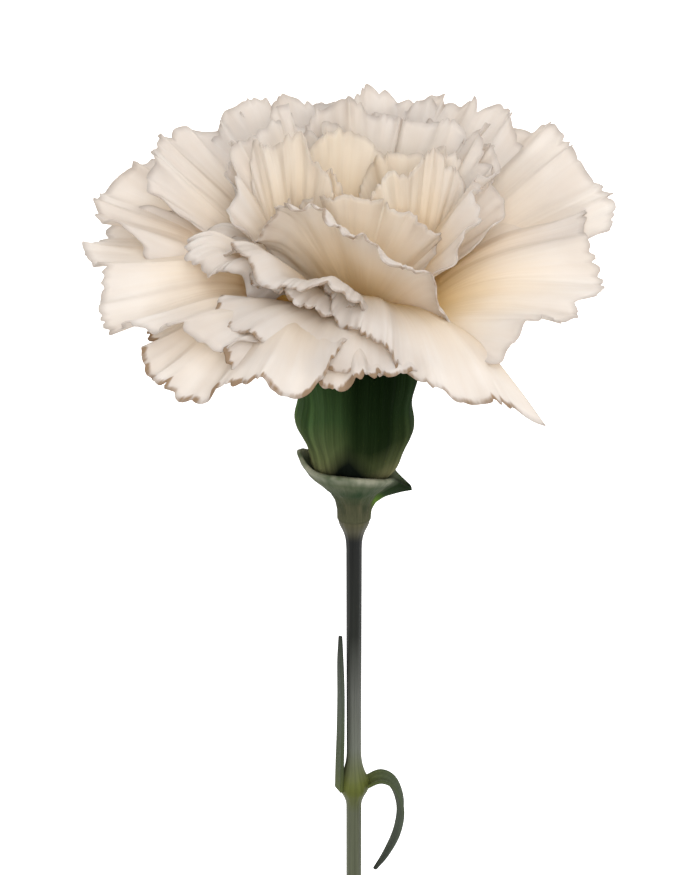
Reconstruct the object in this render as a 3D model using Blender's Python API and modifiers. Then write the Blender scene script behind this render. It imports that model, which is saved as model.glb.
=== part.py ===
"""A cut carnation, lying on a surface.

The flower is modelled in its own frame, in millimetres: z runs along the stem
from the foot of the calyx (z = 0) up into the bloom, and -y is the side that
faces up once the flower is laid down.  One empty then lays it down, with its
head towards +Y, its cut end on the surface and its lower petals pressed
lightly against it.
"""
from math import cos, pi, radians, sin

import bmesh
import bpy
import numpy as np
from mathutils import Euler, Vector

MM = 0.001

# ---- driving dimensions, millimetres and degrees ---------------------------
STEM_LENGTH = 97.0          # foot of the calyx to the cut end
STEM_RADIUS = 1.15
STEM_SIDES = 16
GAP = 0.35                  # least clearance between neighbouring pieces
BLADE_THICKNESS = 0.6

REST_TILT = 9.5             # slope of the stem as it lies
FOOT_X = 1.1                # where the calyx foot lies
FOOT_Y = 15.5
PRESS_DEPTH = 5.0           # petals below this height are pressed by the surface
PRESS_LEVEL = 0.15          # and none of them goes below this one

# stem from its swollen top down: height and radius.  The second swelling is
# the joint that carries the leaves.
STEM_OUTLINE = (
    (4.4, 0.0), (4.4, 2.3), (3.6, 2.4), (2.4, 2.4), (0.8, 1.75), (-1.0, 1.2), (-37.5, 1.1),
    (-39.6, 1.6), (-41.0, 2.0), (-42.2, 1.6), (-43.6, STEM_RADIUS),
    (-STEM_LENGTH, STEM_RADIUS), (-STEM_LENGTH, 0.0),
)

# calyx from its foot up: height and outer radius
CALYX_OUTLINE = (
    (4.7, 1.5), (6.4, 1.8), (8.0, 2.6), (9.6, 4.1), (11.0, 5.6), (12.6, 6.7), (14.5, 7.4),
    (17.0, 8.1), (19.0, 8.4), (24.0, 8.7), (28.0, 9.2), (33.0, 9.5),
)
CALYX_CAVITY = 10.2         # height of the floor inside
CALYX_WALL = 0.9
CALYX_RIM = 28.0            # foot of the notches between the teeth
TEETH = 5
TOOTH_HEIGHT = 3.4
RIBS = 10
RIB_HEIGHT = 0.2
CALYX_SIDES = 40

# the collar of bracts that clasps the foot of the calyx
BRACT_FOOT = 4.75
BRACT_RIM = 11.3
BRACT_TIP = 2.5             # rise of the bract that hugs the calyx
BRACT_FLARE = 2.9           # reach of the one that stands away from it
BRACT_THICKNESS = 0.7
BRACT_SIDES = 32

# leaves: middle line (x, y, z) from the joint to the tip, and half widths
LEAVES = {
    "leaf_upright": (
        ((-3.0, 0.0, -41.6), (-3.1, -0.1, -38.0), (-2.9, -0.3, -32.0), (-2.8, -0.6, -26.0),
         (-2.8, -0.7, -20.0), (-2.6, -0.8, -16.0)),
        (1.9, 1.9, 1.7, 1.5, 1.1, 0.3)),
    "leaf_curled": (
        ((2.8, 0.0, -41.6), (4.4, -0.4, -40.2), (6.1, -0.9, -41.0), (7.0, -1.6, -44.2),
         (6.3, -2.2, -48.4), (4.8, -2.5, -52.2), (3.2, -2.4, -55.4)),
        (1.9, 1.9, 1.8, 1.7, 1.5, 1.0, 0.3)),
}
LEAF_THICKNESS = 0.8
LEAF_FOLD = 0.45            # depth of the channel along a leaf, as a share of its half width
LEAF_STEPS = 14

# ---- the petals ------------------------------------------------------------
# A whorl gives what its petals share: how far out and how high they leave the
# bundle of claws (root), the reach of the bend, the width angle on each side
# of the middle, the length, the cupping across, and the flutes.
WHORLS = {
    "guard": dict(root=(7.0, 33.0), knee=11.0, half=48, length=35, cup=10, ruffle=1.3, waves=2.6),
    "middle": dict(root=(5.0, 34.0), knee=11.0, half=50, length=30, cup=24, ruffle=1.3, waves=2.8),
    "heart": dict(root=(2.5, 35.0), knee=12.0, half=54, length=23, cup=30, ruffle=1.2, waves=3.0),
}

# One row a petal: whorl, bearing round the stem (0 is +x, 90 is +y), slope
# where it leaves the claws, slope of its outer part, and what it does its own
# way.  Roll turns it about its middle line, skew makes one side longer, and
# round draws its two corners in.
PETALS = (
    ("guard", 155, 65, 20, dict(length=36, half=50, roll=-20)),
    ("guard", 212, 62, -8, dict(length=35, half=50, roll=-20, skew=0.1)),
    ("guard", 231, 58, -22, dict(length=33, half=42, skew=-0.12)),
    ("guard", 255, 52, -18, dict(length=28, half=44, root=(7.0, 32.0))),
    ("guard", 270, 55, -24, dict(length=26.5, half=60, root=(7.0, 34.0), roll=-16, skew=-0.1,
          cup=-30, ruffle=0.6, waves=2.0, round=0.2)),
    ("guard", 281, 45, -30, dict(length=20, half=43, root=(7.0, 38.0), roll=-25, skew=-0.6,
          ruffle=0.7, round=-0.15)),
    ("guard", 335, 62, 8, dict(length=32, half=58, roll=34, round=0.24)),
    ("guard", 20, 64, 34, dict(length=36, half=47, roll=22)),
    ("guard", 52, 66, 46, dict(length=35, roll=10)),
    ("guard", 90, 67, 44, dict(length=34.5)),
    ("guard", 119, 66, 42, dict(length=34, roll=-10)),
    ("guard", 68, 60, 8, dict(length=33, root=(7.4, 32.6))),
    ("guard", 112, 60, 8, dict(length=33, root=(7.4, 32.6))),
    ("middle", 200, 60, 24, dict(length=24, half=30, roll=-8)),
    ("middle", 240, 58, 20, dict(length=22.5, half=60, root=(5.0, 35.0), roll=-16, skew=-0.05)),
    ("middle", 280, 62, 44, dict(length=23, half=70, root=(5.0, 35.0), roll=-31, skew=0.06,
          cup=-14, waves=2.2, ruffle=0.9)),
    ("middle", 10, 75, 50, dict(length=28)),
    ("middle", 45, 75, 60, dict()),
    ("middle", 80, 75, 60, dict(length=29)),
    ("middle", 110, 75, 60, dict(length=27)),
    ("middle", 145, 76, 60, dict(length=29, half=40)),
    ("heart", 248, 84, 82, dict(length=26, half=19, side=7.0, root=(4.0, 36.0), cup=-30, waves=0.9)),
    ("heart", 272, 78, 72, dict(length=19.5, half=52, cup=10, roll=-14, root=(3.0, 36.0))),
    ("heart", 78, 86, 78, dict(half=34, cup=10, side=8.0, waves=1.6, ruffle=0.8)),
    ("heart", 292, 80, 84, dict(length=23, half=27, side=-7.0, root=(4.0, 36.0), waves=1.4)),
    ("heart", 100, 86, 76, dict(length=25, half=42, side=-3.0, waves=1.6, ruffle=0.8)),
    ("heart", 262, 86, 80, dict(length=21, half=20, side=4.5, root=(3.0, 36.0), waves=1.2)),
    ("guard", 146, 66, 36, dict(length=35, half=32, roll=-10)),
    ("guard", 262, 36, -12, dict(length=17, half=54, root=(6.0, 38.5), roll=-14, ruffle=0.6, round=0.1)),
)
# rows of points from the pointed foot to the margin: share of the length, and
# the number of steps across, which doubles from row to row
PETAL_ROWS = ((0.0, 0), (0.44, 4), (0.74, 8), (1.0, 16))
MARGIN_TEETH = 0.03         # depth of the teeth as a share of the length
SHORTEST_EDGE = 0.003       # shorter ones, left where petals cross, are closed up

# the bundle of claws that the petals grow from: height and radius
CLAW_OUTLINE = (
    (41.0, 0.0), (40.2, 3.6), (38.4, 6.2), (36.0, 7.8), (34.0, 8.2), (32.6, 7.9), (28.0, 7.6),
    (24.0, 7.2), (19.0, 6.9), (17.0, 6.6), (14.5, 5.9), (12.6, 5.1), (11.2, 4.0), (11.2, 0.0),
)


def empty_scene():
    for item in list(bpy.data.objects):
        bpy.data.objects.remove(item, do_unlink=True)


def new_collection(name):
    collection = bpy.data.collections.new(name)
    bpy.context.scene.collection.children.link(collection)
    return collection


def material(name, colour, roughness):
    made = bpy.data.materials.new(name)
    made.use_nodes = True
    shader = made.node_tree.nodes["Principled BSDF"]
    shader.inputs["Base Color"].default_value = (*colour, 1.0)
    shader.inputs["Roughness"].default_value = roughness
    shader.inputs["Metallic"].default_value = 0.0
    return made


def add_object(name, mesh, collection, parent=None, finish=None):
    made = bpy.data.objects.new(name, mesh)
    collection.objects.link(made)
    made.parent = parent
    if finish:
        mesh.materials.append(finish)
    return made


def grid_mesh(name, points, closed=False):
    """An open sheet of quads through rows of points, or a ring of them."""
    rows, columns = points.shape[:2]
    steps = columns if closed else columns - 1
    faces = [
        (r * columns + c, r * columns + (c + 1) % columns,
         (r + 1) * columns + (c + 1) % columns, (r + 1) * columns + c)
        for r in range(rows - 1) for c in range(steps)
    ]
    mesh = bpy.data.meshes.new(name)
    mesh.from_pydata((points.reshape(-1, 3) * MM).tolist(), [], faces)
    return mesh


def split_into_triangles(mesh):
    sheet = bmesh.new()
    sheet.from_mesh(mesh)
    bmesh.ops.triangulate(sheet, faces=sheet.faces[:], quad_method="FIXED")
    sheet.to_mesh(mesh)
    sheet.free()


def shade_smooth(mesh):
    mesh.shade_smooth()
    mesh.set_sharp_from_angle(angle=radians(40.0))


def thicken(item, thickness):
    wall = item.modifiers.new("thickness", "SOLIDIFY")
    wall.thickness = thickness * MM
    wall.offset = 0.0
    wall.use_even_offset = False


def turned(name, outline, sides, collection, parent, finish):
    """A solid of revolution from an outline of (height, radius), top to bottom."""
    mesh = bpy.data.meshes.new(name)
    points = [(radius * MM, 0.0, height * MM) for height, radius in outline]
    edges = [(i, i + 1) for i in range(len(points) - 1)]
    mesh.from_pydata(points, edges, [])
    made = add_object(name, mesh, collection, parent, finish)
    screw = made.modifiers.new("turn", "SCREW")
    screw.steps = sides
    screw.render_steps = sides
    screw.use_merge_vertices = True
    screw.merge_threshold = 0.00001
    screw.use_smooth_shade = True
    return made


def blade_row(number, along, steps, whorl, bearing, slope, outer_slope, own):
    """Points across one petal, at a share of the way from its foot to its margin."""
    shape = {**WHORLS[whorl], "roll": 0.0, "skew": 0.0, "round": 0.38, "side": 0.0, **own}
    phase_a, phase_b, phase_c = 2.4 * number, 4.1 * number + 1.0, 5.3 * number + 2.0
    length, half = shape["length"], radians(shape["half"])
    across = np.linspace(-1.0, 1.0, steps + 1) if steps else np.zeros(1)

    # a fan: the margin is round, a little lobed and toothed
    reach = length * (1.0 - shape["round"] * across ** 4) * np.exp(shape["skew"] * across)
    reach = reach * (1.0 + 0.03 * np.sin(1.3 * pi * across + phase_a)
                     + 0.04 * np.sin(2.7 * pi * across + phase_b))
    if along == 1.0:
        reach = reach * (1.0 + MARGIN_TEETH * np.cos(pi * np.arange(steps + 1)))
    width = along * reach * np.sin(across * half)
    travel = along * reach * np.cos(across * half)

    # flutes that deepen towards the margin and lean over as they do
    wave = shape["waves"] * pi * across + phase_c + 0.5 * np.sin(2.1 * across + phase_a)
    rise = shape["ruffle"] * along ** 1.8 * np.sin(wave)
    width = width + 0.35 * shape["ruffle"] * along ** 2.2 * np.cos(wave)

    # cupped across, as on the side of a cylinder
    cup_radius = 2.0 * length * sin(half) / radians(shape["cup"])
    x = cup_radius * np.sin(width / cup_radius)
    rise = rise + cup_radius * (1.0 - np.cos(width / cup_radius))

    # the middle line bends along an arc and runs on straight
    span = 2.0 * shape["knee"]
    curvature = radians(outer_slope - slope) / span
    on_arc = np.minimum(travel, span)
    turn = curvature * on_arc
    y = np.sin(turn) / curvature + (travel - on_arc) * np.cos(turn) - rise * np.sin(turn)
    z = (1.0 - np.cos(turn)) / curvature + (travel - on_arc) * np.sin(turn) + rise * np.cos(turn)

    roll, lift, angle = radians(shape["roll"]), radians(slope), radians(bearing)
    x, z = x * cos(roll) + z * sin(roll) + shape["side"], z * cos(roll) - x * sin(roll)
    out = shape["root"][0] + y * cos(lift) - z * sin(lift)
    height = shape["root"][1] + y * sin(lift) + z * cos(lift)
    return np.stack([out * cos(angle) + x * sin(angle),
                     out * sin(angle) - x * cos(angle), height], axis=-1)


def petal_sheet(number, row):
    """One petal as an open sheet of triangles, a fan whose steps double outwards."""
    rows = [press(blade_row(number, along, steps, *row)) for along, steps in PETAL_ROWS]
    first = np.cumsum([0] + [len(points) for points in rows])
    faces = [(0, first[1] + i, first[1] + i + 1) for i in range(PETAL_ROWS[1][1])]
    for inner, outer, (_, steps) in zip(first[1:], first[2:], PETAL_ROWS[1:-1]):
        for i in range(steps):
            low, high = inner + i, outer + 2 * i
            faces += [(low, high, high + 1), (low, high + 1, low + 1), (low + 1, high + 1, high + 2)]
    mesh = bpy.data.meshes.new("petal")
    mesh.from_pydata((np.concatenate(rows) * MM).tolist(), [], np.array(faces).tolist())
    return mesh


def press(points):
    """Let what would lie below the surface settle on it, as soft petals do."""
    tilt = radians(REST_TILT)
    height = foot_height() - points[..., 1] * cos(tilt) + points[..., 2] * sin(tilt)
    bottom = PRESS_LEVEL + PRESS_DEPTH
    settled = PRESS_LEVEL + PRESS_DEPTH * np.exp((height - bottom) / PRESS_DEPTH)
    lift = np.where(height < bottom, settled - height, 0.0)
    pressed = points.copy()
    pressed[..., 1] -= lift * cos(tilt)
    pressed[..., 2] += lift * sin(tilt)
    return pressed


def foot_height():
    """Height of the calyx foot when the rim of the cut end is on the surface."""
    tilt = radians(REST_TILT)
    return STEM_LENGTH * sin(tilt) + STEM_RADIUS * cos(tilt)


def make_bloom(collection, frame, finish):
    """All petals in one body: they grow from the bundle of claws in the calyx."""
    bloom = turned("bloom", CLAW_OUTLINE, 24, collection, frame, finish)
    petals = new_collection("bloom petals")
    for number, row in enumerate(PETALS, start=1):
        petal = add_object("petal", petal_sheet(number, row), petals, frame)
        thicken(petal, BLADE_THICKNESS)
    union = bloom.modifiers.new("petals", "BOOLEAN")
    union.operation = "UNION"
    union.operand_type = "COLLECTION"
    union.collection = petals
    union.solver = "MANIFOLD"
    bpy.context.view_layer.update()
    joined = bpy.data.meshes.new_from_object(bloom.evaluated_get(bpy.context.evaluated_depsgraph_get()))
    bloom.modifiers.clear()
    bloom.data = joined
    for petal in list(petals.objects):
        bpy.data.objects.remove(petal, do_unlink=True)
    bpy.data.collections.remove(petals)
    keep_largest_shell(joined)
    shade_smooth(joined)
    return bloom


def keep_largest_shell(mesh):
    """Fill the hollows that fused petals seal between them, and drop loose scraps."""
    body = bmesh.new()
    body.from_mesh(mesh)
    unseen = set(body.faces)
    shells = []
    while unseen:
        shell, edge_of_search = set(), [unseen.pop()]
        while edge_of_search:
            face = edge_of_search.pop()
            shell.add(face)
            near = {other for edge in face.edges for other in edge.link_faces} & unseen
            unseen -= near
            edge_of_search.extend(near)
        shells.append(shell)
    shells.sort(key=len, reverse=True)
    extra = [face for shell in shells[1:] for face in shell]
    bmesh.ops.delete(body, geom=extra, context="FACES")
    bmesh.ops.dissolve_degenerate(body, dist=SHORTEST_EDGE * MM, edges=body.edges[:])
    body.to_mesh(mesh)
    body.free()


def calyx_radius(height):
    heights, radii = zip(*CALYX_OUTLINE)
    return np.interp(height, heights, radii)


def make_calyx(collection, frame, finish):
    """The tube of five fused sepals: a ribbed cup with five pointed teeth."""
    angle = np.linspace(0.0, 2.0 * pi, CALYX_SIDES, endpoint=False)
    tooth = 1.0 - np.abs((angle * TEETH / (2.0 * pi)) % 1.0 - 0.5) * 2.0
    flat = 0.0 * angle
    levels = [height + flat for height, _ in CALYX_OUTLINE if height < CALYX_RIM]
    levels += [CALYX_RIM + share * TOOTH_HEIGHT * tooth ** 0.8 for share in (0.3, 1.0)]
    inner_levels = [CALYX_CAVITY + flat] + [level for level in levels if level[0] > CALYX_CAVITY]

    def ring(height, inset):
        ribbed = RIB_HEIGHT * np.cos(RIBS * angle) * np.clip((height - 8.0) / 6.0, 0.0, 1.0)
        radius = calyx_radius(height) + ribbed - inset
        return np.stack([radius * np.cos(angle), radius * np.sin(angle), height], axis=-1)

    rings = [ring(level, 0.0) for level in levels]
    rings += [ring(level, CALYX_WALL) for level in reversed(inner_levels)]
    mesh = grid_mesh("calyx", np.array(rings), closed=True)
    shell = bmesh.new()
    shell.from_mesh(mesh)
    bmesh.ops.holes_fill(shell, edges=[edge for edge in shell.edges if edge.is_boundary])
    bmesh.ops.recalc_face_normals(shell, faces=shell.faces[:])
    shell.to_mesh(mesh)
    shell.free()
    shade_smooth(mesh)
    return add_object("calyx", mesh, collection, frame, finish)


def make_bracts(collection, frame, finish):
    """Four short bracts joined at their feet: one hugs the calyx, one stands away."""
    angle = np.linspace(0.0, 2.0 * pi, BRACT_SIDES, endpoint=False)
    hugging = np.clip(-np.cos(angle), 0.0, 1.0) ** 6
    standing = np.clip(np.cos(angle), 0.0, 1.0) ** 8
    rim = BRACT_RIM + BRACT_TIP * hugging - 0.8 * standing
    rows = []
    for share in np.linspace(0.0, 1.0, 7):
        height = BRACT_FOOT + (rim - BRACT_FOOT) * share
        flare = BRACT_FLARE * standing * share ** 3
        slope = calyx_radius(height + 0.5) - calyx_radius(height - 0.5)
        clearance = RIB_HEIGHT * share + (GAP + BRACT_THICKNESS / 2.0) * np.hypot(1.0, slope)
        radius = calyx_radius(height) + clearance + flare
        rows.append(np.stack([radius * np.cos(angle), radius * np.sin(angle),
                              height - 0.7 * flare], axis=-1))
    mesh = grid_mesh("bracts", np.array(rows), closed=True)
    split_into_triangles(mesh)
    bracts = add_object("bracts", mesh, collection, frame, finish)
    thicken(bracts, BRACT_THICKNESS)
    shade_smooth(mesh)
    return bracts


def smooth_path(points, steps):
    """Points along a Catmull-Rom curve through a few points."""
    points = np.array(points, dtype=float)
    padded = np.vstack([2 * points[0] - points[1], points, 2 * points[-1] - points[-2]])
    path = []
    for place in np.linspace(0.0, len(points) - 1.0001, steps + 1):
        i, t = int(place), place % 1.0
        a, b, c, d = padded[i:i + 4]
        path.append(0.5 * (2 * b + (c - a) * t + (2 * a - 5 * b + 4 * c - d) * t * t
                           + (3 * b - a - 3 * c + d) * t ** 3))
    return np.array(path)


def make_leaf(name, middle, half_widths, collection, frame, finish):
    """A narrow blade, folded along its middle line, that faces the stem."""
    path = smooth_path(middle, LEAF_STEPS)
    widths = smooth_path([(w, 0, 0) for w in half_widths], LEAF_STEPS)[:, 0]
    side = np.array([0.0, 1.0, 0.0])
    rows = []
    for point, run, width in zip(path, np.gradient(path, axis=0), widths):
        upper_face = -np.sign(middle[0][0]) * np.cross(side, run / np.linalg.norm(run))
        rows.append([point + width * (step * side + abs(step) * LEAF_FOLD * upper_face)
                     for step in (-1.0, -0.5, 0.0, 0.5, 1.0)])
    mesh = grid_mesh(name, np.array(rows))
    split_into_triangles(mesh)
    leaf = add_object(name, mesh, collection, frame, finish)
    thicken(leaf, LEAF_THICKNESS)
    shade_smooth(mesh)
    return leaf


empty_scene()
model = new_collection("cut carnation")
frame = add_object("flower frame", None, model)
frame.location = Vector((FOOT_X, FOOT_Y, foot_height())) * MM
frame.rotation_euler = Euler((radians(REST_TILT - 90.0), 0.0, 0.0))
cream = material("petal cream", (0.86, 0.79, 0.68), 0.6)
calyx_green = material("calyx green", (0.10, 0.17, 0.06), 0.5)
bract_green = material("bract green", (0.17, 0.20, 0.11), 0.55)
stem_green = material("stem green", (0.06, 0.08, 0.05), 0.5)
leaf_green = material("leaf green", (0.13, 0.19, 0.12), 0.6)
make_bloom(model, frame, cream)
make_calyx(model, frame, calyx_green)
make_bracts(model, frame, bract_green)
turned("stem", STEM_OUTLINE, STEM_SIDES, model, frame, stem_green)
for leaf_name, (middle_line, leaf_widths) in LEAVES.items():
    make_leaf(leaf_name, middle_line, leaf_widths, model, frame, leaf_green)
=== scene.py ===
"""A cut carnation, laid on a pale surface and seen from above."""
from math import cos, pi, radians, sin, tau
from types import SimpleNamespace

import bmesh
import bpy
import numpy as np
from mathutils import Matrix, Vector


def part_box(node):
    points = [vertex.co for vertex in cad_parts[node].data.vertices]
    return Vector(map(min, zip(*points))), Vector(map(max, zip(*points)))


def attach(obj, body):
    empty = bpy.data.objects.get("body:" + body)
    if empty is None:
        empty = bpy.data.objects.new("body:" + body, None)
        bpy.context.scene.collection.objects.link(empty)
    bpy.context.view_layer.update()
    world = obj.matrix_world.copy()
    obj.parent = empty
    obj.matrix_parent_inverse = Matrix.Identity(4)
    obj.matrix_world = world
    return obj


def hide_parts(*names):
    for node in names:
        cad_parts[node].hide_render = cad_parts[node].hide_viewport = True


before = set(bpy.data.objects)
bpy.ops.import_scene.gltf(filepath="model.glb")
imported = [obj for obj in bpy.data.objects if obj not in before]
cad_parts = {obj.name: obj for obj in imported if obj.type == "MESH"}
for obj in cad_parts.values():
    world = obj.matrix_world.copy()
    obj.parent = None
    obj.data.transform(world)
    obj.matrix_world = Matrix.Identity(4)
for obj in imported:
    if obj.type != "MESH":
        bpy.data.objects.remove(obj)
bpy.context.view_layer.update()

# ---- how the flower lies -----------------------------------------------------------
# The flower has a frame of its own, in millimetres: z runs from the foot of the
# calyx up into the bloom, x runs across, and -y is the side that faces up once
# the flower lies down.  The stem slopes from its cut end up to the bloom.
MM = 0.001
TILT = radians(9.5)
STEM_LENGTH = 97.0
STEM_RADIUS = 1.15
stem_low, stem_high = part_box("stem")
foot = Vector((
    (stem_low.x + stem_high.x) / 2.0,
    stem_low.y + (STEM_LENGTH * cos(TILT) + STEM_RADIUS * sin(TILT)) * MM,
    (STEM_LENGTH * sin(TILT) + STEM_RADIUS * cos(TILT)) * MM,
))
laid_turn = Matrix.Rotation(TILT - pi / 2.0, 4, "X")
laid = Matrix.Translation(foot) @ laid_turn @ Matrix.Scale(MM, 4)

# ---- camera ------------------------------------------------------------------------
# A long lens above the lying flower, leaning 22 degrees towards the bloom, so
# that it looks down on the calyx and a little into the petals.
VIEW_LEAN = radians(22.0)
VIEW_CENTRE = Vector((-0.6, 5.5, 13.7))
VIEW_HEIGHT = 129.5
LENS = 100.0
SENSOR = 36.0


def add_object(name, data):
    """Put a mesh, a lamp or a camera into the scene."""
    added = bpy.data.objects.new(name, data)
    bpy.context.scene.collection.objects.link(added)
    return added


camera_data = bpy.data.cameras.new("camera")
camera_data.lens = LENS
camera_data.sensor_width = SENSOR
camera_data.clip_start = 0.01
camera = add_object("camera", camera_data)
bpy.context.scene.camera = camera
towards_camera = Vector((0.0, -cos(VIEW_LEAN), sin(VIEW_LEAN)))
view_up = Vector((0.0, sin(VIEW_LEAN), cos(VIEW_LEAN)))
distance = VIEW_HEIGHT * LENS / SENSOR
axes = Matrix((Vector((1.0, 0.0, 0.0)), view_up, towards_camera)).transposed().to_4x4()
camera.matrix_world = (
    Matrix.Translation(laid @ (VIEW_CENTRE + distance * towards_camera)) @ laid_turn @ axes
)

# ---- surface and light -------------------------------------------------------------
# A plain white table that glows faintly, as a light table does, under one wide soft
# light overhead, a weak one beyond the bloom and an even white room.
TABLE_REACH = 3.0
TABLE_DROP = 0.00005
TABLE_GLOW = 0.3
TABLE_GLOW_SEEN = 0.9
ROOM_LIGHT = 0.65
LAMP_SIZE = 0.5
LAMP_AIM = Vector((0.0, 0.05, 0.02))
WHITE = (1.0, 1.0, 1.0)

floor_mesh = bpy.data.meshes.new("floor")
corners = [(TABLE_REACH * x, TABLE_REACH * y, 0.0) for x, y in ((-1, -1), (1, -1), (1, 1), (-1, 1))]
floor_mesh.from_pydata(corners, [], [(0, 1, 2, 3)])
floor = add_object("floor", floor_mesh)
floor.location.z = -TABLE_DROP
white = bpy.data.materials.new("white table")
white.use_nodes = True
white_shader = white.node_tree.nodes["Principled BSDF"]
white_shader.inputs["Base Color"].default_value = (0.88, 0.88, 0.88, 1.0)
white_shader.inputs["Roughness"].default_value = 0.9
white_shader.inputs["Emission Color"].default_value = (*WHITE, 1.0)
sight = white.node_tree.nodes.new("ShaderNodeLightPath")
glow = white.node_tree.nodes.new("ShaderNodeMapRange")
glow.inputs["To Min"].default_value = TABLE_GLOW
glow.inputs["To Max"].default_value = TABLE_GLOW_SEEN
white.node_tree.links.new(sight.outputs["Is Camera Ray"], glow.inputs["Value"])
white.node_tree.links.new(glow.outputs["Result"], white_shader.inputs["Emission Strength"])
floor_mesh.materials.append(white)

room = bpy.data.worlds.new("white room")
bpy.context.scene.world = room
room.use_nodes = True
room.node_tree.nodes["Background"].inputs["Color"].default_value = (*WHITE, 1.0)
room.node_tree.nodes["Background"].inputs["Strength"].default_value = ROOM_LIGHT


def soft_light(name, place, power):
    """A square light that faces the bloom."""
    lamp = bpy.data.lights.new(name, "AREA")
    lamp.size = LAMP_SIZE
    lamp.energy = power
    light = add_object(name, lamp)
    light.location = place
    light.rotation_euler = (LAMP_AIM - light.location).to_track_quat("-Z", "Y").to_euler()


soft_light("overhead", (0.05, 0.20, 0.85), power=4.7)
soft_light("behind", (0.10, 0.65, 0.50), power=1.6)
bpy.context.scene.view_settings.view_transform = "Standard"

# ---- petals ------------------------------------------------------------------------
# Each petal is one thin, soft fan: its claw stands in the calyx and its blade is
# fluted, crimped and toothed along the margin.  One node tree shapes a flat sheet
# into a petal, and every petal feeds it its own sizes.
PETAL_THICKNESS = 0.22
PETAL_START = 0.06
CURL_START = 0.8
# each cleft: how fast its place shifts from petal to petal, and its share of the length
CLEFTS = ((7.7, 0.09), (3.9, 0.06))
CLEFT_WIDTH = 0.045
TEETH_PER_RADIAN = 17.0
TOOTH_DEPTH = 0.034
PLEATS_PER_RADIAN = 38.0
PLEAT_HEIGHT = 0.035
BUCKLE_HEIGHT = 0.7
PRESS_DEPTH = 5.0
PRESS_LEVEL = 0.15
HEART_RADIUS = 17.0
SMALLEST_BEND = 0.0002
# the sizes of a guard petal, in millimetres and degrees; a whorl or a petal changes
# some of them.  Round is how far the margin draws in at its corners, clefts how deep
# it is split, curl how far the rim rolls under, and age how brown and dry it is.
GUARD_PETAL = dict(
    length=35, half_angle=48, root_out=7, root_height=33, bend_span=22, skew=0, roll=0, side=0, cup=10,
    ruffle=1.3, waves=2.6, frill=0.9, crimp=0.42, clefts=1, round=0.38, curl=0, age=0,
)
WHORLS = {
    "guard": {},
    "middle": dict(length=30, half_angle=50, root_out=5, root_height=34, cup=24, waves=2.8),
    "heart": dict(length=23, half_angle=54, root_out=2.5, root_height=35, bend_span=24, cup=30,
                  ruffle=1.2, waves=3, frill=0.7, crimp=0.3, clefts=0.5),
}
# one row a petal: whorl, bearing round the stem, slope at the claw, slope of the
# outer part, and what it does its own way
PETALS = (
    ("guard", 155, 65, 20, dict(length=36, half_angle=50, roll=-20, clefts=0.5)),
    ("guard", 212, 62, -8, dict(half_angle=50, roll=-20, skew=0.1, clefts=0.15)),
    ("guard", 231, 58, -22, dict(length=33, half_angle=44, skew=-0.12, clefts=0.4, age=0.7)),
    ("guard", 255, 52, -18, dict(length=28, half_angle=44, root_height=32, clefts=0.3, age=1)),
    ("guard", 270, 55, -24, dict(
        length=26.5, half_angle=60, root_height=34, roll=-16, skew=-0.1, cup=-30, ruffle=0.6, waves=2,
        frill=0.5, crimp=0.3, clefts=0.2, round=0.2, age=0.6)),
    ("guard", 281, 45, -30, dict(
        length=20.5, half_angle=43, root_height=38, roll=-23, skew=-0.59, ruffle=0.7, frill=0.5,
        crimp=0.25, clefts=0.4, round=-0.15, curl=0.8, age=0.5)),
    ("guard", 337, 62, 10, dict(length=33.5, half_angle=60, roll=30, round=0.15)),
    ("guard", 18, 64, 33, dict(length=35.5, half_angle=52, roll=24, clefts=0.4)),
    ("guard", 52, 66, 46, dict(roll=10)),
    ("guard", 90, 67, 44, dict(length=34.5)),
    ("guard", 119, 66, 42, dict(length=34, roll=-10)),
    ("guard", 68, 60, 8, dict(length=33, root_out=7.4, root_height=32.6)),
    ("guard", 112, 60, 8, dict(length=33, root_out=7.4, root_height=32.6)),
    ("middle", 200, 60, 24, dict(length=24, half_angle=30, roll=-8, frill=0.4, crimp=0.25, curl=3)),
    ("middle", 240, 58, 20, dict(
        length=22.5, half_angle=60, root_height=35, roll=-16, skew=-0.05, frill=0.5, crimp=0.25,
        clefts=0.3, curl=1.6, age=0.35)),
    ("middle", 280, 62, 44, dict(
        length=23.5, half_angle=64, root_height=35, roll=-40, skew=-0.02, cup=-14, ruffle=0.9, waves=2.2,
        frill=0.8, crimp=0.5, clefts=0.4, round=0.3, curl=1.4, age=0.35)),
    ("middle", 10, 75, 50, dict(length=28)),
    ("middle", 45, 75, 60, dict()),
    ("middle", 80, 75, 60, dict(length=29)),
    ("middle", 110, 75, 60, dict(length=27)),
    ("middle", 145, 76, 60, dict(length=29, half_angle=40)),
    ("heart", 248, 84, 82, dict(
        length=26, half_angle=21, side=7, root_out=4, root_height=36, cup=-30, waves=0.9,
        frill=0.3, crimp=0.12)),
    ("heart", 272, 78, 72, dict(length=19.5, half_angle=52, root_out=3, root_height=36, roll=-14, cup=10)),
    ("heart", 78, 86, 78, dict(half_angle=34, side=8, cup=10, ruffle=0.8, waves=1.6)),
    ("heart", 292, 80, 84, dict(
        half_angle=27, side=-7, root_out=4, root_height=36, waves=1.4, frill=0.35, crimp=0.12)),
    ("heart", 100, 86, 76, dict(length=25, half_angle=42, side=-3, ruffle=0.8, waves=1.6)),
    ("heart", 262, 86, 80, dict(
        length=21, half_angle=20, side=4.5, root_out=3, root_height=36, waves=1.2, frill=0.4, crimp=0.12)),
    ("guard", 146, 66, 36, dict(half_angle=32, roll=-10)),
    ("guard", 262, 36, -12, dict(
        length=17, half_angle=54, root_out=6, root_height=38.5, roll=-14, ruffle=0.6, frill=0.4,
        crimp=0.25, clefts=0.3, round=0.1, curl=0.8, age=0.5)),
)
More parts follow.
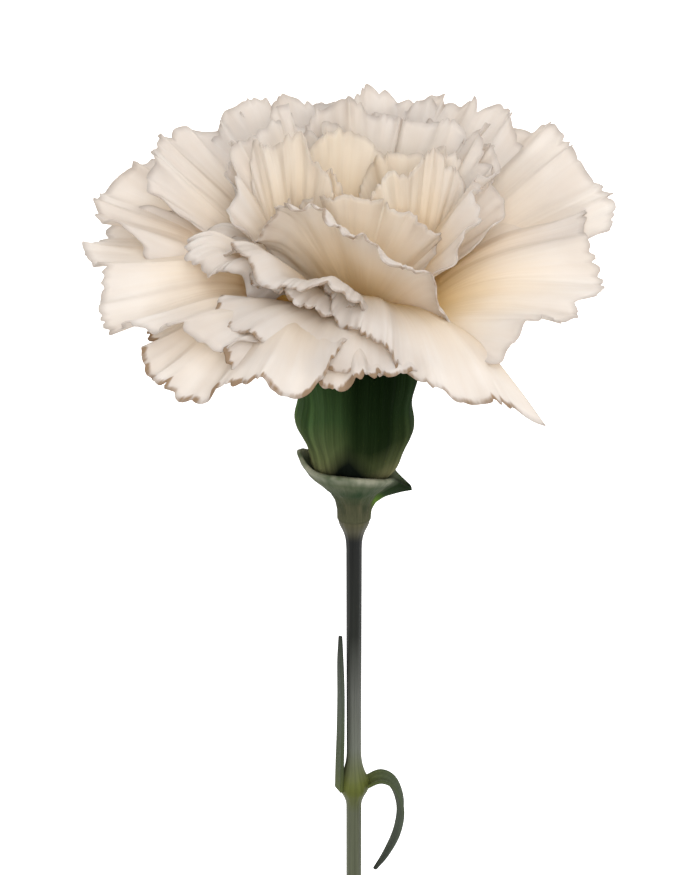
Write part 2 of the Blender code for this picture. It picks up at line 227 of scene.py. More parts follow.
PETAL_STEPS = {"guard": (180, 17), "middle": (180, 18), "heart": (150, 16)}
# what the tree reads, by name, and which of these are angles
PETAL_INPUTS = ("number", "bearing", "slope", "outer_slope", *GUARD_PETAL)
PETAL_ANGLES = ("bearing", "slope", "outer_slope", "half_angle", "roll", "cup")


def feed(tree, slot, value):
    """Give an input a number, a colour, another node's output or a field."""
    if isinstance(value, Field):
        value = value.socket
    if isinstance(value, bpy.types.NodeSocket):
        tree.links.new(value, slot)
    else:
        slot.default_value = (*value, 1.0) if slot.type == "RGBA" else value


def as_vector(tree, *terms):
    """Join two or three fields into one vector socket."""
    node = tree.nodes.new("ShaderNodeCombineXYZ")
    for slot, term in zip(node.inputs, terms):
        feed(tree, slot, term)
    return node.outputs["Vector"]


class Field:
    """A number that varies from point to point, worked out by the math nodes of a tree."""

    def __init__(self, tree, socket):
        self.tree = tree
        self.socket = socket

    def math(self, operation, *terms):
        """Add a math node that works on fields and numbers, and return its result."""
        node = self.tree.nodes.new("ShaderNodeMath")
        node.operation = operation
        for slot, term in zip(node.inputs, terms):
            feed(self.tree, slot, term)
        return Field(self.tree, node.outputs["Value"])

    def __add__(self, other):
        return self.math("ADD", self, other)

    def __radd__(self, other):
        return self.math("ADD", other, self)

    def __sub__(self, other):
        return self.math("SUBTRACT", self, other)

    def __rsub__(self, other):
        return self.math("SUBTRACT", other, self)

    def __mul__(self, other):
        return self.math("MULTIPLY", self, other)

    def __rmul__(self, other):
        return self.math("MULTIPLY", other, self)

    def __truediv__(self, other):
        return self.math("DIVIDE", self, other)

    def __pow__(self, power):
        return self.math("POWER", self, power)

    def sin(self):
        return self.math("SINE", self)

    def cos(self):
        return self.math("COSINE", self)

    def exp(self):
        return self.math("EXPONENT", self)

    def abs(self):
        return self.math("ABSOLUTE", self)

    def least(self, other):
        return self.math("MINIMUM", self, other)

    def most(self, other):
        return self.math("MAXIMUM", self, other)

    def noise(self, second, third):
        """Smooth random waves, from about -1 to 1, over three numbers."""
        waves = self.tree.nodes.new("ShaderNodeTexNoise")
        waves.inputs["Scale"].default_value = 1.0
        waves.inputs["Detail"].default_value = 1.0
        feed(self.tree, waves.inputs["Vector"], as_vector(self.tree, self, second, third))
        return 4.0 * (Field(self.tree, waves.outputs["Fac"]) - 0.5)


def petal_tree(finish):
    """Build the node tree that turns a flat sheet into one petal, where it grows."""
    tree = bpy.data.node_groups.new("carnation petal", "GeometryNodeTree")
    tree.interface.new_socket("Geometry", in_out="OUTPUT", socket_type="NodeSocketGeometry")
    for name in ("steps_across", "steps_along"):
        tree.interface.new_socket(name, in_out="INPUT", socket_type="NodeSocketInt")
    for name in PETAL_INPUTS:
        tree.interface.new_socket(name, in_out="INPUT", socket_type="NodeSocketFloat")
    given = tree.nodes.new("NodeGroupInput")
    result = tree.nodes.new("NodeGroupOutput")
    link = tree.links.new
    petal = SimpleNamespace(**{name: Field(tree, given.outputs[name]) for name in PETAL_INPUTS})

    # a flat sheet: across runs from -1 to 1, and along from the claw to the margin,
    # in steps that get finer on the way
    sheet = tree.nodes.new("GeometryNodeMeshGrid")
    sheet.inputs["Size X"].default_value = 2.0
    sheet.inputs["Size Y"].default_value = 1.0
    link(given.outputs["steps_across"], sheet.inputs["Vertices X"])
    link(given.outputs["steps_along"], sheet.inputs["Vertices Y"])
    place = tree.nodes.new("GeometryNodeInputPosition")
    parts = tree.nodes.new("ShaderNodeSeparateXYZ")
    link(place.outputs["Position"], parts.inputs["Vector"])
    across = Field(tree, parts.outputs["X"])
    along = PETAL_START + (1.0 - PETAL_START) * (Field(tree, parts.outputs["Y"]) + 0.5) ** 0.65

    # three phases, so that no two petals wave alike
    phase_a = 2.4 * petal.number
    phase_b = 4.1 * petal.number + 1.0
    phase_c = 5.3 * petal.number + 2.0

    # the margin: round, a little lobed, with a cleft or two and a row of teeth
    reach = petal.length * (1.0 - petal.round * across ** 4) * (petal.skew * across).exp()
    reach = reach * (1.0 + 0.03 * (1.3 * pi * across + phase_a).sin()
                     + 0.04 * (2.7 * pi * across + phase_b).sin())
    for turn, depth in CLEFTS:
        off = (across - 0.6 * (turn * petal.number).sin()) / CLEFT_WIDTH
        reach = reach * (1.0 - depth * petal.clefts * (-1.0 * off * off).exp())
    tooth = TEETH_PER_RADIAN * petal.half_angle * across
    tooth = tooth + 0.35 * (1.7 * tooth + phase_b).sin() + 0.2 * (3.1 * tooth + phase_c).sin()
    notch = (1.0 - (pi * tooth).sin().abs()) * (0.6 + 0.4 * (15.0 * across + phase_a).sin())
    reach = reach * (1.0 - TOOTH_DEPTH * notch)
    fan = across * petal.half_angle
    rolled_rim = petal.curl * ((along - CURL_START) / (1.0 - CURL_START)).most(0.0) ** 2
    width = along * reach * fan.sin()
    travel = along * reach * fan.cos() - 0.3 * rolled_rim.abs()

    # ruffles, frills, the crimped margin and fine pleats, which lean over as they rise
    ruffle = petal.waves * pi * across + phase_c + 0.5 * (2.1 * across + phase_a).sin()
    frill = 2.6 * petal.waves * pi * across + phase_b + 0.8 * (3.0 * across + phase_c).sin()
    crimp = 7.3 * petal.waves * pi * across + phase_b + 0.9 * (5.0 * across + phase_c).sin()
    pleat = PLEATS_PER_RADIAN * petal.half_angle * across + 1.4 * (4.0 * across + phase_a).sin()
    crimp_height = petal.crimp * along ** 9 * (0.6 + 0.4 * (4.0 * across + phase_a).sin())
    rise = (petal.ruffle * along ** 1.8 * ruffle.sin() + petal.frill * along ** 4 * frill.sin()
            + crimp_height * crimp.sin() + PLEAT_HEIGHT * along ** 1.4 * pleat.sin()
            + BUCKLE_HEIGHT * along ** 1.2 * (4.0 * across).noise(1.3 * along, 7.3 * petal.number))
    width = (width + 0.35 * petal.ruffle * along ** 2.2 * ruffle.cos()
             + 0.5 * petal.frill * along ** 4 * frill.cos() + 0.5 * crimp_height * crimp.cos())
    rise = rise - rolled_rim

    # cupped across, as on the side of a cylinder
    cup_radius = 2.0 * petal.length * petal.half_angle.sin() / (petal.cup + SMALLEST_BEND)
    x = cup_radius * (width / cup_radius).sin()
    rise = rise + cup_radius * (1.0 - (width / cup_radius).cos())

    # the middle line bends along an arc and runs on straight
    curvature = (petal.outer_slope - petal.slope + SMALLEST_BEND) / petal.bend_span
    on_arc = travel.least(petal.bend_span)
    bend = curvature * on_arc
    beyond = travel - on_arc
    y = bend.sin() / curvature + beyond * bend.cos() - rise * bend.sin()
    z = (1.0 - bend.cos()) / curvature + beyond * bend.sin() + rise * bend.cos()

    # rolled about its middle line, lifted to its slope, and turned to its bearing
    roll_sin, roll_cos = petal.roll.sin(), petal.roll.cos()
    rolled = x * roll_cos + z * roll_sin + petal.side
    z = z * roll_cos - x * roll_sin
    slope_sin, slope_cos = petal.slope.sin(), petal.slope.cos()
    out = petal.root_out + y * slope_cos - z * slope_sin
    height = petal.root_height + y * slope_sin + z * slope_cos
    turn_sin, turn_cos = petal.bearing.sin(), petal.bearing.cos()
    flower_x = out * turn_cos + rolled * turn_sin
    flower_y = out * turn_sin - rolled * turn_cos

    # laid down, and pressed lightly by the surface under it
    world_x = foot.x / MM + flower_x
    world_y = foot.y / MM + flower_y * sin(TILT) + height * cos(TILT)
    world_z = foot.z / MM - flower_y * cos(TILT) + height * sin(TILT)
    bottom = PRESS_LEVEL + PRESS_DEPTH
    pressed = PRESS_LEVEL + PRESS_DEPTH * ((world_z - bottom).least(0.0) / PRESS_DEPTH).exp()
    world_z = pressed + (world_z - bottom).most(0.0)

    # where each point lies on its petal, for the finish to follow
    geometry = sheet.outputs["Mesh"]
    for name, kind, domain, value in (
            ("blade", "FLOAT2", "CORNER", as_vector(tree, across * 0.5 + 0.5, along)),
            ("age", "FLOAT", "POINT", given.outputs["age"]),
            ("number", "FLOAT", "POINT", given.outputs["number"])):
        store = tree.nodes.new("GeometryNodeStoreNamedAttribute")
        store.data_type = kind
        store.domain = domain
        store.inputs["Name"].default_value = name
        link(geometry, store.inputs["Geometry"])
        link(value, store.inputs["Value"])
        geometry = store.outputs["Geometry"]
    shaped = tree.nodes.new("GeometryNodeSetPosition")
    link(geometry, shaped.inputs["Geometry"])
    link(as_vector(tree, world_x * MM, world_y * MM, world_z * MM), shaped.inputs["Position"])
    real = tree.nodes.new("GeometryNodeRealizeInstances")
    link(shaped.outputs["Geometry"], real.inputs["Geometry"])
    dressed = tree.nodes.new("GeometryNodeSetMaterial")
    dressed.inputs["Material"].default_value = finish
    link(real.outputs["Geometry"], dressed.inputs["Geometry"])
    link(dressed.outputs["Geometry"], result.inputs["Geometry"])
    return tree


def streaks_group():
    """A mask, from 0 to 1, of streaks that run along a blade."""
    group = bpy.data.node_groups.new("plant streaks", "ShaderNodeTree")
    for name, kind in (("Blade", "NodeSocketVector"), ("Across", "NodeSocketFloat"),
                       ("Along", "NodeSocketFloat"), ("Seed", "NodeSocketFloat")):
        group.interface.new_socket(name, in_out="INPUT", socket_type=kind)
    group.interface.new_socket("Mask", in_out="OUTPUT", socket_type="NodeSocketFloat")
    given = group.nodes.new("NodeGroupInput")
    result = group.nodes.new("NodeGroupOutput")
    parts = group.nodes.new("ShaderNodeSeparateXYZ")
    group.links.new(given.outputs["Blade"], parts.inputs["Vector"])
    u = Field(group, parts.outputs["X"]) * Field(group, given.outputs["Across"])
    v = Field(group, parts.outputs["Y"]) * Field(group, given.outputs["Along"])
    noise = group.nodes.new("ShaderNodeTexNoise")
    noise.inputs["Scale"].default_value = 1.0
    noise.inputs["Detail"].default_value = 3.0
    group.links.new(as_vector(group, u, v, given.outputs["Seed"]), noise.inputs["Vector"])
    spread = group.nodes.new("ShaderNodeMapRange")
    spread.inputs["From Min"].default_value = 0.3
    spread.inputs["From Max"].default_value = 0.7
    group.links.new(noise.outputs["Fac"], spread.inputs["Value"])
    group.links.new(spread.outputs["Result"], result.inputs["Mask"])
    return group


streaks = streaks_group()


def add_streaks(tree, blade, across, along, seed=0.0):
    """Place the streaks in a material, with their number across and along the blade."""
    node = tree.nodes.new("ShaderNodeGroup")
    node.node_tree = streaks
    for name, value in (("Blade", blade), ("Across", across), ("Along", along), ("Seed", seed)):
        feed(tree, node.inputs[name], value)
    return Field(tree, node.outputs["Mask"])


def ramp(tree, value, stops):
    """A colour ramp from (position, colour) stops; returns its colour socket."""
    node = tree.nodes.new("ShaderNodeValToRGB")
    bands = node.color_ramp.elements
    while len(bands) < len(stops):
        bands.new(0.5)
    for band, (position, colour) in zip(bands, stops):
        band.position = position
        band.color = (*colour, 1.0)
    feed(tree, node.inputs["Fac"], value)
    return node.outputs["Color"]


def blend(tree, share, first, second, mode="MIX"):
    """Mix two colours by a share that may vary over the surface."""
    node = tree.nodes.new("ShaderNodeMix")
    node.data_type = "RGBA"
    node.blend_type = mode
    slots = {slot.identifier: slot for slot in (*node.inputs, *node.outputs)}
    feed(tree, slots["Factor_Float"], share)
    feed(tree, slots["A_Color"], first)
    feed(tree, slots["B_Color"], second)
    return slots["Result_Color"]


def add_bump(tree, height, distance):
    """Let a height field tilt the shader's normals."""
    node = tree.nodes.new("ShaderNodeBump")
    node.inputs["Distance"].default_value = distance * MM
    feed(tree, node.inputs["Height"], height)
    tree.links.new(node.outputs["Normal"], tree.nodes["Principled BSDF"].inputs["Normal"])


def blade_skin(name, roughness, specular):
    """A new material, with its blade map and how far each point lies across and along."""
    material = bpy.data.materials.new(name)
    material.use_nodes = True
    tree = material.node_tree
    shader = tree.nodes["Principled BSDF"]
    shader.inputs["Roughness"].default_value = roughness
    shader.inputs["Specular IOR Level"].default_value = specular
    blade = tree.nodes.new("ShaderNodeUVMap")
    blade.uv_map = "blade"
    parts = tree.nodes.new("ShaderNodeSeparateXYZ")
    tree.links.new(blade.outputs["UV"], parts.inputs["Vector"])
    return material, blade.outputs["UV"], Field(tree, parts.outputs["X"]), Field(tree, parts.outputs["Y"])


def depth_in_heart(tree):
    """From 0 at the outside of the heart to 1 at the axis of the flower, by the
    distance from that axis, which a cross product gives."""
    spot = tree.nodes.new("ShaderNodeTexCoord").outputs["Object"]
    axis = (0.0, cos(TILT), sin(TILT))
    for operation, second in (("SUBTRACT", tuple(foot)), ("CROSS_PRODUCT", axis), ("LENGTH", None)):
        step = tree.nodes.new("ShaderNodeVectorMath")
        step.operation = operation
        tree.links.new(spot, step.inputs[0])
        if second:
            step.inputs[1].default_value = second
        spot = step.outputs["Value" if operation == "LENGTH" else "Vector"]
    return (1.0 - Field(tree, spot) / (HEART_RADIUS * MM)).most(0.0)


def petal_attribute(tree, name):
    """A value that the petal tree has stored on each petal."""
    node = tree.nodes.new("ShaderNodeAttribute")
    node.attribute_name = name
    return Field(tree, node.outputs["Fac"])


def petal_material():
    """Cream and finely veined, yellow towards the claw, partly its own colour and
    partly painted warm shade and glow, with a painted warm glow in the heart,
    painted grey shade towards the rims, and rims that are dry and brown on old petals."""
    material, blade, _, along = blade_skin("petal cream", roughness=0.6, specular=0.25)
    tree = material.node_tree
    shader = tree.nodes["Principled BSDF"]
    number = petal_attribute(tree, "number")
    age = petal_attribute(tree, "age")
    veins = add_streaks(tree, blade, 64.0, 1.8, number)
    clouds = add_streaks(tree, blade, 7.0, 2.4, number)
    patches = add_streaks(tree, blade, 26.0, 3.0, number)

    # yellow towards the claw: partly the petal's own colour, partly painted warm shade and glow
    body = ramp(tree, along, (
        (0.0, (0.62, 0.45, 0.12)), (0.3, (0.82, 0.68, 0.42)), (0.6, (0.90, 0.835, 0.74)),
        (0.85, (0.88, 0.855, 0.83)), (1.0, (0.86, 0.84, 0.825))))
    # a painted warm glow deep in the heart, for light that shines through the petals
    glow_warmed = blend(tree, 0.45 * depth_in_heart(tree), body, (0.95, 0.84, 0.58))
    veined = blend(tree, veins, (0.975, 0.96, 0.945), WHITE)
    clouded = blend(tree, clouds, (0.98, 0.965, 0.94), WHITE)
    coloured = blend(tree, 1.0, blend(tree, 1.0, glow_warmed, veined, "MULTIPLY"), clouded, "MULTIPLY")

    # painted shade: greyer towards the margin and a thin grey rim; then brown spots where the rim is dry
    # with age
    grey = ((along - 0.68) / 0.32).most(0.0) * (1.0 - clouds) * 0.4
    coloured = blend(tree, grey, coloured, (0.64, 0.56, 0.49))
    rim = ((along - 0.965) / 0.04).most(0.0).least(1.0) * (0.1 + 0.6 * patches)
    rim_shaded = blend(tree, rim, coloured, (0.52, 0.45, 0.40))
    dry = age * ((patches - 0.3) * 2.0).most(0.0).least(1.0)
    edge = ((along - 0.985 + 0.04 * dry) / 0.016).most(0.0).least(1.0)
    finished = blend(tree, edge * (2.2 * dry).least(0.85), rim_shaded, (0.36, 0.23, 0.12))
    feed(tree, shader.inputs["Base Color"], finished)
    add_bump(tree, veins, 0.04)

    # half of the light passes through the blade
    through = tree.nodes.new("ShaderNodeBsdfTranslucent")
    feed(tree, through.inputs["Color"], blend(tree, 1.0, finished, (1.0, 0.96, 0.90), "MULTIPLY"))
    both = tree.nodes.new("ShaderNodeMixShader")
    both.inputs["Fac"].default_value = 0.5
    tree.links.new(shader.outputs["BSDF"], both.inputs[1])
    tree.links.new(through.outputs["BSDF"], both.inputs[2])
    tree.links.new(both.outputs["Shader"], tree.nodes["Material Output"].inputs["Surface"])
    return material


petal_cream = petal_material()
petal_nodes = petal_tree(petal_cream)
petal_slots = {
    item.name: item.identifier for item in petal_nodes.interface.items_tree if item.in_out == "INPUT"
}


def make_petal(number, whorl, bearing, slope, outer_slope, own):
    """Run the petal tree once and return the plain mesh that it makes."""
    sizes = dict(number=number, bearing=bearing, slope=slope, outer_slope=outer_slope)
    sizes.update({**GUARD_PETAL, **WHORLS[whorl], **own})
    carrier = add_object("petal", bpy.data.meshes.new("petal"))
    shaper = carrier.modifiers.new("petal", "NODES")
    shaper.node_group = petal_nodes
    shaper[petal_slots["steps_across"]], shaper[petal_slots["steps_along"]] = PETAL_STEPS[whorl]
    for name, value in sizes.items():
        shaper[petal_slots[name]] = radians(value) if name in PETAL_ANGLES else float(value)
    made = bpy.data.meshes.new_from_object(carrier.evaluated_get(bpy.context.evaluated_depsgraph_get()))
    bpy.data.objects.remove(carrier, do_unlink=True)
    return made


def join_meshes(name, meshes, finish):
    """One object from several plain meshes that share a finish."""
    whole = bmesh.new()
    for mesh in meshes:
        whole.from_mesh(mesh)
        bpy.data.meshes.remove(mesh)
    joined = bpy.data.meshes.new(name)
    whole.to_mesh(joined)
    whole.free()
    joined.materials.append(finish)
    joined.shade_smooth()
    return add_object(name, joined)


def thicken(piece, thickness, offset=0.0):
    """Give an open sheet its real thickness."""
    wall = piece.modifiers.new("thickness", "SOLIDIFY")
    wall.thickness = thickness * MM
    wall.offset = offset
    wall.use_even_offset = False


for whorl in WHORLS:
    rows = [(number, row) for number, row in enumerate(PETALS, start=1) if row[0] == whorl]
    petals = join_meshes(whorl + "_petals", [make_petal(number, *row) for number, row in rows], petal_cream)
    thicken(petals, PETAL_THICKNESS)
    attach(petals, "root")
    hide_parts("bloom")

# ---- claw bundle -------------------------------------------------------------------
# The narrow claws of all the petals stand packed together in the calyx and close
# the bloom from below.  They are pale green-yellow and show only deep in the heart.
CLAW_OUTLINE = (
    (11.2, 0.3), (11.2, 4.0), (12.6, 5.1), (14.5, 5.9), (17.0, 6.6), (24.0, 7.2), (30.0, 7.6),
    (34.0, 7.4), (36.0, 6.6), (37.4, 4.6), (38.0, 2.2), (38.1, 0.3),
)


def bearings(count):
    """Evenly spaced angles round the axis of the flower."""
    return np.linspace(0.0, tau, count, endpoint=False)


def ring(angle, radius, height):
    """Points round the axis of the flower, each at its own radius and height."""
    return np.stack(np.broadcast_arrays(radius * np.cos(angle), radius * np.sin(angle), height), axis=-1)


def outline_at(outline, height):
    """Radius of a turned outline of (height, radius) at some height."""
    heights, radii = zip(*outline)
    return np.interp(height, heights, radii)


def sheet_mesh(name, rows, finish, closed=False):
    """A sheet of quads through rows of points in the flower's frame, with a blade map."""
    points = np.array(rows)
    count, columns = points.shape[:2]
    steps = columns if closed else columns - 1
    faces, marks = [], []
    for r in range(count - 1):
        for c in range(steps):
            right = (c + 1) % columns
            faces.append((r * columns + c, r * columns + right,
                          (r + 1) * columns + right, (r + 1) * columns + c))
            for u, v in ((c, r), (c + 1, r), (c + 1, r + 1), (c, r + 1)):
                marks.append((u / steps, v / (count - 1)))
    mesh = bpy.data.meshes.new(name)
    mesh.from_pydata([laid @ Vector(point) for point in points.reshape(-1, 3)], [], faces)
    layer = mesh.uv_layers.new(name="blade")
    layer.data.foreach_set("uv", np.array(marks, dtype=np.float32).ravel())
    mesh.materials.append(finish)
    mesh.shade_smooth()
    return mesh


def close_holes(mesh):
    """Cap the open rings at the ends of a closed sheet and point its faces outwards."""
    body = bmesh.new()
    body.from_mesh(mesh)
    bmesh.ops.holes_fill(body, edges=[edge for edge in body.edges if edge.is_boundary])
    bmesh.ops.recalc_face_normals(body, faces=body.faces[:])
    body.to_mesh(mesh)
    body.free()


def paint(tree, colour, veins, vein_tint, bump):
    """Colour the shader, darken it along the veins and let the veins stand out."""
    shade = blend(tree, veins, vein_tint, WHITE)
    shaded = blend(tree, 1.0, colour, shade, "MULTIPLY")
    feed(tree, tree.nodes["Principled BSDF"].inputs["Base Color"], shaded)
    add_bump(tree, veins, bump)


def plant_material(name, stops, roughness, across, along, vein_depth, bump):
    """A green skin: a ramp along the blade, darkened by fine streaks."""
    material, blade, _, up = blade_skin(name, roughness, specular=0.1)
    tree = material.node_tree
    paint(tree, ramp(tree, up, stops), add_streaks(tree, blade, across, along),
          (1.0 - vein_depth,) * 3, bump)
    return material


claw_skin = plant_material(
    "claw pale green",
    ((0.0, (0.45, 0.48, 0.22)), (0.7, (0.60, 0.55, 0.28)), (1.0, (0.62, 0.50, 0.24))),
    roughness=0.6, across=60.0, along=3.0, vein_depth=0.35, bump=0.2)
angle = bearings(96)
fluting = 1.0 - 0.05 * np.cos(24.0 * angle) - 0.03 * np.sin(11.0 * angle)
rows = [ring(angle, radius * fluting, height) for height, radius in CLAW_OUTLINE]
claw_mesh = sheet_mesh("claw_bundle", rows, claw_skin, closed=True)
close_holes(claw_mesh)
claws = add_object("claw_bundle", claw_mesh)
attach(claws, "root")
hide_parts("bloom")

# ---- calyx -------------------------------------------------------------------------
# Five sepals fused into a ribbed tube with five pointed teeth.  It is leathery,
# dark green and tan at its foot, where it goes over to the stem.  Painted light
# makes its ribs lighter green on the left side, and painted shade makes it near
# black elsewhere.
CALYX_OUTLINE = (
    (4.7, 1.5), (6.4, 1.8), (8.0, 2.6), (9.6, 4.1), (11.0, 5.6), (12.6, 6.7), (14.5, 7.4),
    (17.0, 8.1), (19.0, 8.4), (24.0, 8.7), (28.0, 9.2), (33.0, 9.5),
)
CALYX_FOOT = CALYX_OUTLINE[0][0]
CALYX_RIM = 28.0
CALYX_WALL = 0.85
TEETH = 5
TOOTH_HEIGHT = 3.4
RIB_COUNT = 40


def sepal_material():
    """Dark green, near black in painted shade, with lighter green bands of painted
    light on the left side, a tan foot, and a painted shadow where the bracts stand
    off it."""
    material, blade, round_tube, up = blade_skin("calyx green", roughness=0.75, specular=0.02)
    tree = material.node_tree
    # painted light and shade: dark is the calyx in shade, light is the calyx lit from the left, and
    # lit_side paints where that light falls, in bands along the ribs
    dark = ramp(tree, up, (
        (0.0, (0.15, 0.13, 0.07)), (0.24, (0.15, 0.14, 0.065)), (0.36, (0.045, 0.055, 0.02)),
        (0.5, (0.004, 0.011, 0.002)), (1.0, (0.002, 0.006, 0.001))))
    light = ramp(tree, up, (
        (0.0, (0.24, 0.21, 0.12)), (0.24, (0.30, 0.28, 0.14)), (0.4, (0.17, 0.20, 0.08)),
        (0.65, (0.07, 0.13, 0.045)), (1.0, (0.025, 0.06, 0.015))))
    lit_side = Field(tree, ramp(tree, round_tube, (
        (0.0, (0.5,) * 3), (0.06, (0.25,) * 3), (0.45, (1.0,) * 3), (0.6, (0.95,) * 3),
        (0.68, (0.5,) * 3), (0.75, (0.12,) * 3), (0.86, (0.05,) * 3), (0.93, (0.3,) * 3))))
    bands = add_streaks(tree, blade, 26.0, 0.5)
    coloured = blend(tree, (lit_side * (0.25 + 1.1 * bands)).least(1.0), dark, light)

    # a painted shadow in the hollow behind the front bract
    off = (round_tube - 0.735).abs() / 0.12
    above = ((up - 0.3) / 0.25).most(0.0)
    hollow_shadow = ((1.0 - off - above) * 1.7).most(0.0).least(1.0)
    shaded = blend(tree, hollow_shadow, coloured, (0.004, 0.006, 0.004))
    paint(tree, shaded, add_streaks(tree, blade, 150.0, 1.5, 3.0), (0.72, 0.74, 0.70), bump=0.08)
    return material


calyx_green = sepal_material()
angle = bearings(240)
tooth = 1.0 - np.abs((angle * TEETH / tau) % 1.0 - 0.5) * 2.0
top = CALYX_RIM + TOOTH_HEIGHT * tooth ** 0.8
left_side = np.clip(-np.cos(angle), 0.0, 1.0) ** 2
right_side = np.clip(np.cos(angle), 0.0, 1.0) ** 2
rows = []
for part in np.linspace(0.0, 1.0, 60):
    height = CALYX_FOOT + (top - CALYX_FOOT) * part
    # the outline, smoothed, then five broad folds that twist a little with finer ribs
    # on them, and swellings down the two sides
    smooth = (outline_at(CALYX_OUTLINE, height - 0.7) + outline_at(CALYX_OUTLINE, height)
              + outline_at(CALYX_OUTLINE, height + 0.7)) / 3.0
    ribs = (0.12 + 0.30 * np.cos(TEETH * angle + 0.9 + 0.06 * height) + 0.12 * np.cos(12.0 * angle)
            + 0.04 * np.cos(RIB_COUNT * angle))
    swellings = (0.45 * left_side * (np.cos(0.75 * (height - 19.0)) - 1.3)
                 + 0.3 * right_side * np.cos(0.8 * (height - 18.0)))
    radius = (smooth + np.clip((height - 8.0) / 6.0, 0.0, 1.0) * ribs
              + np.clip((height - 9.0) / 4.0, 0.0, 1.0) * swellings)
    rows.append(ring(angle, radius, height))
calyx = add_object("calyx_tube", sheet_mesh("calyx_tube", rows, calyx_green, closed=True))
thicken(calyx, CALYX_WALL, offset=-1.0)
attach(calyx, "root")
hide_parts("calyx")

# ---- bracts ------------------------------------------------------------------------
# Short leathery scales with a dry rim, joined at their feet, clasp the foot of the
# calyx.  The left one hugs the calyx and the right one stands away from it as a spur.
BRACT_FOOT = 3.2
BRACT_RIM = 11.3
BRACT_THICKNESS = 0.6
SHEATH_RADIUS = 2.0


def bract_material():
    """Blotched grey green with a pale dry rim, tan at the foot and fresh at the spur."""
    material, blade, round_collar, up = blade_skin("bract green", roughness=0.7, specular=0.05)
    tree = material.node_tree
    dull = ramp(tree, up, (
        (0.0, (0.09, 0.09, 0.05)), (0.35, (0.095, 0.09, 0.05)), (0.6, (0.085, 0.10, 0.055)),
        (0.85, (0.14, 0.15, 0.095)), (0.97, (0.40, 0.39, 0.30))))
    dark = ramp(tree, up, (
        (0.0, (0.09, 0.09, 0.05)), (0.2, (0.05, 0.055, 0.03)), (0.6, (0.025, 0.05, 0.02)),
        (1.0, (0.05, 0.08, 0.035))))
    fresh = ramp(tree, up, (
        (0.3, (0.07, 0.08, 0.03)), (0.5, (0.10, 0.19, 0.02)), (0.72, (0.02, 0.04, 0.012)),
        (1.0, (0.01, 0.02, 0.006))))
    spur = ramp(tree, round_collar, (
        (0.0, (1.0,) * 3), (0.05, (0.0,) * 3), (0.9, (0.0,) * 3), (0.95, (1.0,) * 3)))
    blotched = blend(tree, add_streaks(tree, blade, 14.0, 2.2, 5.0), dark, dull)
    coloured = blend(tree, spur, blotched, fresh)
    paint(tree, coloured, add_streaks(tree, blade, 70.0, 1.5), (0.8, 0.82, 0.78), bump=0.1)
    return material


bract_green = bract_material()
angle = bearings(160)
# how far each bearing belongs to the left scale, the front scale, the low right side
# and the spur
hugging = np.clip(-np.cos(angle), 0.0, 1.0) ** 6
facing = np.clip(-np.sin(angle + 0.25), 0.0, 1.0) ** 3
spread = np.clip(np.cos(angle), 0.0, 1.0) ** 4
standing = np.clip(np.cos(angle + 0.06), 0.0, 1.0) ** 34
rim = BRACT_RIM + 2.5 * hugging + 1.4 * facing - 1.2 * spread
rows = []
for part in np.linspace(0.0, 1.0, 24):
    height = BRACT_FOOT + (rim - BRACT_FOOT) * part
    flare = 2.6 * standing * part ** 2.2
    slope = outline_at(CALYX_OUTLINE, height + 0.5) - outline_at(CALYX_OUTLINE, height - 0.5)
    clearance = 0.2 * part + 0.7 * np.hypot(1.0, slope)
    radius = np.maximum(outline_at(CALYX_OUTLINE, height) + clearance, SHEATH_RADIUS + 0.5 * part) + flare
    rows.append(ring(angle, radius, height - 0.75 * flare))
bracts = add_object("bract_collar", sheet_mesh("bract_collar", rows, bract_green, closed=True))
thicken(bracts, BRACT_THICKNESS)
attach(bracts, "root")
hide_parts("bracts")

# ---- stem --------------------------------------------------------------------------
# A straight, waxy stalk.  It swells under the calyx and at the joint that carries
# the leaves, and its lower end is cut square.
STEM_OUTLINE = (
    (-STEM_LENGTH, STEM_RADIUS), (-44.6, STEM_RADIUS), (-43.2, 1.9), (-42.1, 2.5), (-41.0, 2.35),
    (-39.2, 1.5), (-37.0, 1.1), (-1.0, 1.15), (0.4, 1.35), (1.6, 1.8), (2.6, 2.45), (3.3, 2.4), (4.4, 1.9),
)
stem_green = plant_material(
    "stem green",
    ((0.0, (0.11, 0.125, 0.08)), (0.5, (0.11, 0.12, 0.075)), (0.535, (0.11, 0.125, 0.025)),
     (0.555, (0.11, 0.125, 0.03)), (0.61, (0.15, 0.16, 0.13)), (0.70, (0.12, 0.125, 0.11)),
     (0.80, (0.024, 0.026, 0.022)), (0.955, (0.020, 0.021, 0.020)), (0.972, (0.085, 0.08, 0.05)),
     (0.99, (0.10, 0.095, 0.05))),
    roughness=0.45, across=24.0, along=4.0, vein_depth=0.3, bump=0.08)
angle = bearings(48)
rows = []
for height in np.linspace(STEM_OUTLINE[0][0], STEM_OUTLINE[-1][0], 260):
    # the outline, smoothed over 1.6 mm, with six faint ridges
    smooth = sum(outline_at(STEM_OUTLINE, height + step) for step in (-0.8, -0.4, 0.0, 0.4, 0.8)) / 5.0
    rows.append(ring(angle, smooth * (1.0 + 0.02 * np.cos(6.0 * angle)), height))
stem_mesh = sheet_mesh("stem_stalk", rows, stem_green, closed=True)
close_holes(stem_mesh)
stem = add_object("stem_stalk", stem_mesh)
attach(stem, "root")
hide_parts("stem")

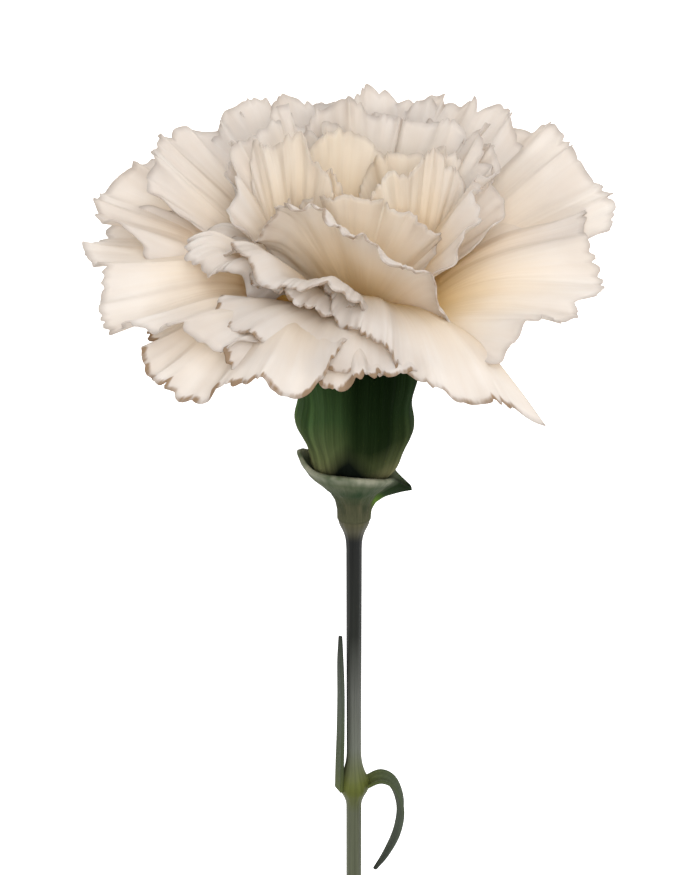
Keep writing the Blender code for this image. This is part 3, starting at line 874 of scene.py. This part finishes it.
# ---- leaves ------------------------------------------------------------------------
# A pair of narrow, channelled leaves with a waxy bloom clasps the joint.  One stands
# along the stem and the other arches away and curls down.
# each leaf: points along its middle line, and its half width at each of them
LEAVES = {
    "leaf_upright": (
        ((-2.7, 0.0, -42.2), (-2.6, -0.1, -38.0), (-2.4, -0.3, -32.0), (-2.3, -0.6, -26.0),
         (-2.3, -0.7, -20.0), (-2.1, -0.8, -16.0)),
        (1.9, 1.9, 1.7, 1.5, 1.1, 0.3)),
    "leaf_curled": (
        ((2.5, 0.0, -42.0), (4.3, -0.4, -41.0), (5.9, -0.9, -41.9), (6.8, -1.6, -44.8),
         (6.3, -2.2, -48.4), (4.8, -2.5, -52.2), (3.2, -2.4, -55.4)),
        (1.9, 1.9, 1.8, 1.7, 1.5, 1.0, 0.3)),
}
LEAF_THICKNESS = 0.5
LEAF_FOLD = 0.45
LEAF_STEPS = 80
leaf_green = plant_material(
    "leaf green",
    ((0.0, (0.10, 0.12, 0.03)), (0.2, (0.07, 0.09, 0.04)), (0.6, (0.075, 0.09, 0.065)),
     (1.0, (0.035, 0.04, 0.03))),
    roughness=0.6, across=26.0, along=2.0, vein_depth=0.3, bump=0.08)


def smooth_path(points, steps):
    """Points along a Catmull-Rom curve through a few points."""
    points = np.array(points, dtype=float)
    padded = np.vstack([2 * points[0] - points[1], points, 2 * points[-1] - points[-2]])
    path = []
    for place in np.linspace(0.0, len(points) - 1.0001, steps + 1):
        i, t = int(place), place % 1.0
        a, b, c, d = padded[i:i + 4]
        path.append(0.5 * (2 * b + (c - a) * t + (2 * a - 5 * b + 4 * c - d) * t * t
                           + (3 * b - a - 3 * c + d) * t ** 3))
    return np.array(path)


side = np.array([0.0, 1.0, 0.0])
for name, (middle, half_widths) in LEAVES.items():
    path = smooth_path(middle, LEAF_STEPS)
    widths = smooth_path([(width, 0.0, 0.0) for width in half_widths], LEAF_STEPS)[:, 0]
    rows = []
    for point, run, width in zip(path, np.gradient(path, axis=0), widths):
        upper_face = -np.sign(middle[0][0]) * np.cross(side, run / np.linalg.norm(run))
        rows.append([point + width * (step * side + abs(step) * LEAF_FOLD * upper_face)
                     for step in np.linspace(-1.0, 1.0, 17)])
    leaf = add_object(name + "_blade", sheet_mesh(name + "_blade", rows, leaf_green))
    thicken(leaf, LEAF_THICKNESS)
    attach(leaf, "root")
    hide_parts(name)
